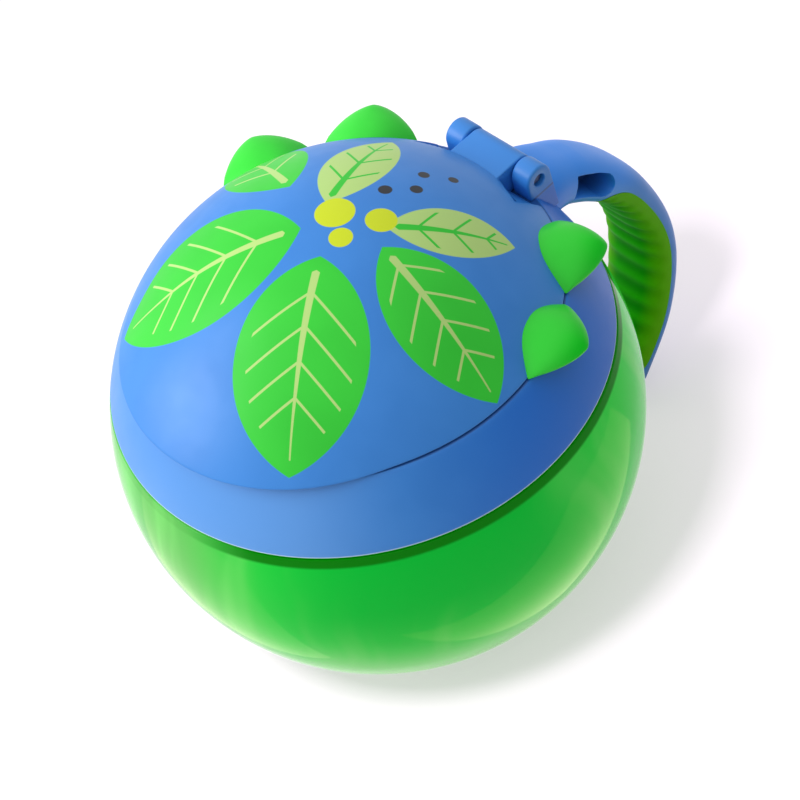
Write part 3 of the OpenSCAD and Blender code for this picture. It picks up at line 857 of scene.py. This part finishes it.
def handleFrame(t, s):
    # the middle line's points and the way out from the ball at each
    step = 0.01
    ahead = handleRoute(np.minimum(t + step, s["last"]), s) - handleRoute(t - step, s)
    ahead = ahead / np.linalg.norm(ahead, axis=1, keepdims=True)
    return handleRoute(t, s), np.column_stack([-ahead[:, 1], ahead[:, 0]])


def handleHalves(t, s):
    # half the width and half the thickness, both drawn in round the tip
    wide = np.where(t < 3, between(s["rootWidth"], s["gripWidth"], (t - s["widenFrom"]) / s["widenBy"]),
                    between(s["gripWidth"], s["tipWidth"], (t - s["narrowFrom"]) / s["narrowBy"])) / 2
    thick = between(s["rootThick"], s["tipThick"], (t - s["thinFrom"]) / s["thinBy"]) / 2
    tip = np.sqrt(1 - np.clip((t - s["tipFrom"]) / (s["last"] - s["tipFrom"]), 0, 0.995) ** 2)
    return wide * tip, thick * tip


def gripSeat(t, s):
    # how far out the parting face lies: on the inner face beyond the grip, on the middle line along it
    def ramp(w):
        return 1 - np.sqrt(np.maximum(0, 1 - (1 - np.clip(w, 0, 1)) ** 2))
    share = np.maximum(ramp((t - s["gripFrom"]) / s["gripRamp"]), ramp((s["gripTo"] - t) / s["gripEndRamp"]))
    return -handleHalves(t, s)[1] * share


def ovalAngles(count, power, wide, thick):
    # angles that cut a rounded-box outline into equal steps
    a = np.linspace(0, 2 * math.pi, 4001)
    outline = np.column_stack([wide * signedPower(np.cos(a), power), thick * signedPower(np.sin(a), power)])
    along = lengthAlong(outline)
    return np.interp(np.linspace(0, along[-1], count, endpoint=False), along, a)


def placed(t, x, n, s):
    # section points (x, distance outwards) set on the route
    middle, out = handleFrame(t, s)
    return np.stack([x, middle[:, :1] + n * out[:, :1], middle[:, 1:] + n * out[:, 1:]], -1)


def addPockets(t, x, n, s):
    # side pockets: a strip along the middle line with a rounded far end, pressed in to the web;
    # also how deep each point is pressed, 0 to 1
    along = lengthAlong(handleRoute(t, s))[:, None]
    reach = along - np.interp(s["pocketFrom"], t, along[:, 0])
    offset = n - s["pocketMiddle"]
    strip = np.maximum(np.abs(offset) - s["pocketHalf"], -reach)
    disc = np.hypot(np.maximum(reach - s["pocketLength"], 0), offset) - s["pocketHalf"]
    distance = np.where(reach > s["pocketLength"], disc, strip)
    over = np.maximum(np.abs(x) - s["pocketFloor"], 0)
    pressed = (1 - smoothStep(distance, -s["pocketEdge"], 0.0)) * (over > 0)
    return np.sign(x) * (np.abs(x) - over * pressed), pressed


def handleGrid(s):
    tip = s["last"] - s["tipFrom"]
    t = np.concatenate([np.arange(*cut) for cut in s["cuts"]]
                       + [s["last"] - tip * (1 - np.sin(np.linspace(0, math.pi / 2, s["tipCuts"])))])
    wide, thick = (h[:, None] for h in handleHalves(t, s))
    swell = 1 + s["flare"] * (1 - smoothStep(t, s["start"], s["flareTo"]))[:, None]
    a = ovalAngles(176, s["power"], s["gripWidth"] / 2, s["rootThick"] / 2)[None]
    x = wide * swell * signedPower(np.cos(a), s["power"])
    n = thick * swell * signedPower(np.sin(a), s["power"])
    # cut off at the parting face, with the edge beside it eased towards the middle of the section
    seat = gripSeat(t, s)[:, None]
    apart = seat > -thick * 0.97
    near = np.clip((s["partingEdge"] - (n - seat)) / s["partingEdge"], 0, 1) * apart
    x = x * (1 - np.where(n < seat, 1, near ** 2) * s["partingEase"] * apart)
    n = np.maximum(n, seat)
    x, pressed = addPockets(t, x, n, s)
    grid = placed(t, x, n, s)
    # kept clear of the bowl's rim, which the handle passes close by
    radius = np.linalg.norm(grid, axis=-1, keepdims=True)
    lift = np.maximum(1, (ballRadius + s["ballGap"]) / radius)
    grid = np.where(grid[..., 2:] < bowlSizes["rim"] + s["ballGap"], grid * lift, grid)
    flat = pressed[:1] * 0
    return capped(grid), np.concatenate([flat, pressed, flat])


def gripGrid(s):
    # the inner half of the section, under the parting face, with rounded ribs across its inner side
    t = np.linspace(s["gripFrom"] + 0.03, s["gripTo"] - 0.02, 330)
    wide, thick = (h[:, None] for h in handleHalves(t, s))
    seat = np.minimum(gripSeat(t - 0.015, s), gripSeat(t + 0.015, s))[:, None]
    edge = np.arcsin(np.minimum(0.999, np.minimum(1, -seat / thick) ** (1 / s["power"])))
    a = edge - math.pi + np.linspace(0, 1, 61)[None] * (math.pi - 2 * edge)
    sine = signedPower(np.sin(a), s["power"])
    w = (t - s["gripFrom"]) / (s["gripTo"] - s["gripFrom"])
    crest = (np.abs(np.sin(math.pi * s["ribs"] * w)) ** s["ribPower"])[:, None]
    x = wide * signedPower(np.cos(a), s["power"])
    n = np.minimum(thick * sine + s["ribDepth"] * (1 - crest) * smoothStep(-sine, 0.25, 0.9), seat)
    # how high each point stands on its rib, for the painted shade in the valleys
    height = 1 - (1 - crest) * smoothStep(-sine, 0.05, 0.6)
    return capped(placed(t, x, n, s)), np.concatenate([height[:1], height, height[-1:]])


grid, deep = handleGrid(handleSizes)
makePiece("handleShell", [(grid, False, True)], "collar", ["handle"], handleBlue, 42,
          {"pocketDepth": deep})
grid, height = gripGrid(handleSizes)
makePiece("gripPad", [(grid, False, True)], "collar", ["handle_grip"], gripGreen, 60,
          {"ribHeight": height})
print("handle made")

# Flap ring and the six soft flaps
flapSizes = dict(
    ringOut=40.618, ringLow=21.55, ringTop=23.55, ringEdge=0.3, hole=28.616, count=6,
    reach=27.9163, slit=0.6, low=21.95, top=23.15, edge=0.3,
)


def flapRingGrid(s):
    # round outside, and a six-sided hole whose flats face the hinge lines
    a = np.radians(np.arange(0, 360, 1.0))
    sector = math.pi / s["count"]
    hexagon = s["hole"] / np.cos((a - math.pi / 2 + sector) % (2 * sector) - sector)
    low, top, e = s["ringLow"], s["ringTop"], s["ringEdge"]
    rings = [(s["ringOut"], low), (s["ringOut"], top - e), (s["ringOut"] - e, top),
             (hexagon + e, top), (hexagon, top - e), (hexagon, low + e), (hexagon + e, low)]
    return np.array([np.stack([r * np.sin(a), -r * np.cos(a), z + 0 * a], -1) for r, z in rings])


def flapGrid(k, s):
    # a wedge from its point near the middle out to its hinge line, as rounded sections across it
    half = math.pi / s["count"]
    tip = s["slit"] / 2 / math.sin(half)
    root = s["reach"] * math.tan(half) - s["slit"] / 2 / math.cos(half)
    u = np.concatenate([[0.0, 0.004, 0.012], np.linspace(0.03, 0.99, 60), [0.995, 1.0]])[:, None]
    ease = np.minimum(1, np.sqrt(np.minimum(u / 0.012, 1)) * np.sqrt(np.minimum((1 - u) / 0.01 + 0.3, 1)))
    e = s["edge"]
    corner = softened([(-1, -1, e), (1, -1, e), (1, 1, e), (-1, 1, e)], closed=True, cuts=4)
    across = np.sign(corner[:, 0]) * np.maximum(root * u - (1 - np.abs(corner[:, 0])), 0)
    up = corner[:, 1] * (s["top"] - s["low"]) / 2 * ease
    along = tip + (s["reach"] - tip) * u + 0 * across
    angle = 2 * math.pi / s["count"] * k
    c, d = math.cos(angle), math.sin(angle)
    return np.stack([along * c - across * d, along * d + across * c, (s["top"] + s["low"]) / 2 + up], -1)


grid = flapRingGrid(flapSizes)
makePiece("flapRing", [(grid, True, True)], "collar", ["flap_ring"], flapGreen)
for k in range(flapSizes["count"]):
    node = f"flap_{k + 1}"
    grid = capped(flapGrid(k, flapSizes))
    makePiece(f"flap{k + 1}", [(grid, False, True)], node, [node], flapGreen)
print("flaps made")

# Floor, lamps and world
studio = dict(
    # soft light from all round: its plain level, and how it grows towards +X, +Y and up
    fill=0.7, fillSlope=(-0.55, -0.34, 0.3),
    floorHalf=6.0, paper=((0.92, 0.79, 0.91, 1), (0.94, 0.81, 0.93, 1)), paperScale=30.0, paperRoughness=0.9,
    floorBack=0.405,             # brightness with which the floor lights the object
    # share of plain white near the middle, and metres over which it grows to all
    floorGlow=0.46, shadowReach=(0.10, 0.24),
    key=dict(place=(-0.62, -0.66, 0.56), aim=(0, 0, 0.045), size=(0.6, 0.6), power=6.8),
    # lights the floor alone, for the soft shadow beside the object
    floorLamp=dict(place=(0.22, -0.50, 1.07), aim=(0, 0, 0), size=(0.2, 0.2), power=11.0),
    # light cards lying on the floor, seen only in reflections: corners in mm, colour and strength
    cards=[([(16, -46), (-12, -137), (-160, -142), (-45, -45)], (1.0, 1.0, 0.8, 1), 2.0),
           ([(46, -48), (76, -4), (107, 41), (82, 103), (48, 71), (41, 7)], (1.0, 1.0, 0.7, 1), 2.2)],
    cardHeight=0.4,
)


def rayKinds(finish, *names):
    # 1 for rays of any of these kinds
    path = finish.tree.nodes.new("ShaderNodeLightPath")
    return finish.either(*[Wire(finish, path.outputs[name]) for name in names])


def seenDirectly(finish):
    return rayKinds(finish, "Is Camera Ray", "Is Glossy Ray", "Is Transmission Ray")


def floorMaterial(s):
    finish = newFinish("floorPaper")
    where = finish.where()
    paper = finish.mix(finish.noise(where, s["paperScale"]), *s["paper"])
    colour = finish.mix(rayKinds(finish, "Is Diffuse Ray"), paper, (*[s["floorBack"]] * 3, 1))
    finish.set(Base_Color=colour, Roughness=s["paperRoughness"], Specular_IOR_Level=0.0)
    x, y = finish.split(where)[:2]
    white = finish.span(finish.root(x * x + y * y), *s["shadowReach"], s["floorGlow"], 1.0)
    paperLight = Wire(finish, finish.tree.nodes["Principled BSDF"].outputs[0])
    glow = finish.node("ShaderNodeEmission", sockets={"Color": (1, 1, 1, 1), "Strength": 1.0})
    seen = seenDirectly(finish) * white
    finish.surface(finish.node("ShaderNodeMixShader", sockets=[seen, paperLight, glow]))
    return finish.owner


def addFlat(name, corners, height, material):
    # a flat face that is part of the studio, corners in metres
    mesh = bpy.data.meshes.new(name)
    mesh.from_pydata([(x, y, height) for x, y in corners], [], [range(len(corners))])
    mesh.materials.append(material)
    flat = bpy.data.objects.new(name, mesh)
    scene.collection.objects.link(flat)
    return flat


def addFloor(s):
    h = s["floorHalf"]
    return addFlat("floor", [(-h, -h), (h, -h), (h, h), (-h, h)], 0, floorMaterial(s))


def addLamp(name, s, floor, onFloor):
    # onFloor: the lamp lights the floor alone, or else everything but the floor
    data = bpy.data.lights.new(name, "AREA")
    data.shape = "RECTANGLE"
    data.size, data.size_y = s["size"]
    data.energy = s["power"]
    lamp = bpy.data.objects.new(name, data)
    lamp.location = s["place"]
    lamp.rotation_mode = "QUATERNION"
    lamp.rotation_quaternion = (Vector(s["aim"]) - lamp.location).to_track_quat("-Z", "Y")
    lamp.visible_camera = False
    scene.collection.objects.link(lamp)
    lit = bpy.data.collections.new(name + "Lit")
    lit.objects.link(floor)
    lit.collection_objects[0].light_linking.link_state = "INCLUDE" if onFloor else "EXCLUDE"
    lamp.light_linking.receiver_collection = lit


def addWorld(s):
    world = bpy.data.worlds.new("studio")
    scene.world = world
    finish = Finish(world)
    soft = s["fill"]
    direction = finish.node("ShaderNodeTexCoord", out=0)
    for part, slope in zip(finish.split(direction), s["fillSlope"]):
        soft = part * slope + soft
    seen = seenDirectly(finish)
    background = finish.tree.nodes["Background"]
    finish.feed(background.inputs["Color"], (1, 1, 1, 1))
    finish.feed(background.inputs["Strength"], seen + (1 - seen) * soft)


def addCard(name, corners, colour, strength, height):
    finish = newFinish(name)
    finish.surface(finish.node("ShaderNodeEmission", sockets={"Color": colour, "Strength": strength}))
    card = addFlat(name, [(x * mm, y * mm) for x, y in corners], height * mm, finish.owner)
    card.visible_camera = card.visible_diffuse = card.visible_shadow = card.visible_transmission = False


floor = addFloor(studio)
addLamp("key", studio["key"], floor, False)
addLamp("floorLamp", studio["floorLamp"], floor, True)
for k, card in enumerate(studio["cards"]):
    addCard(f"card{k + 1}", *card, studio["cardHeight"])
addWorld(studio)
print("studio made")
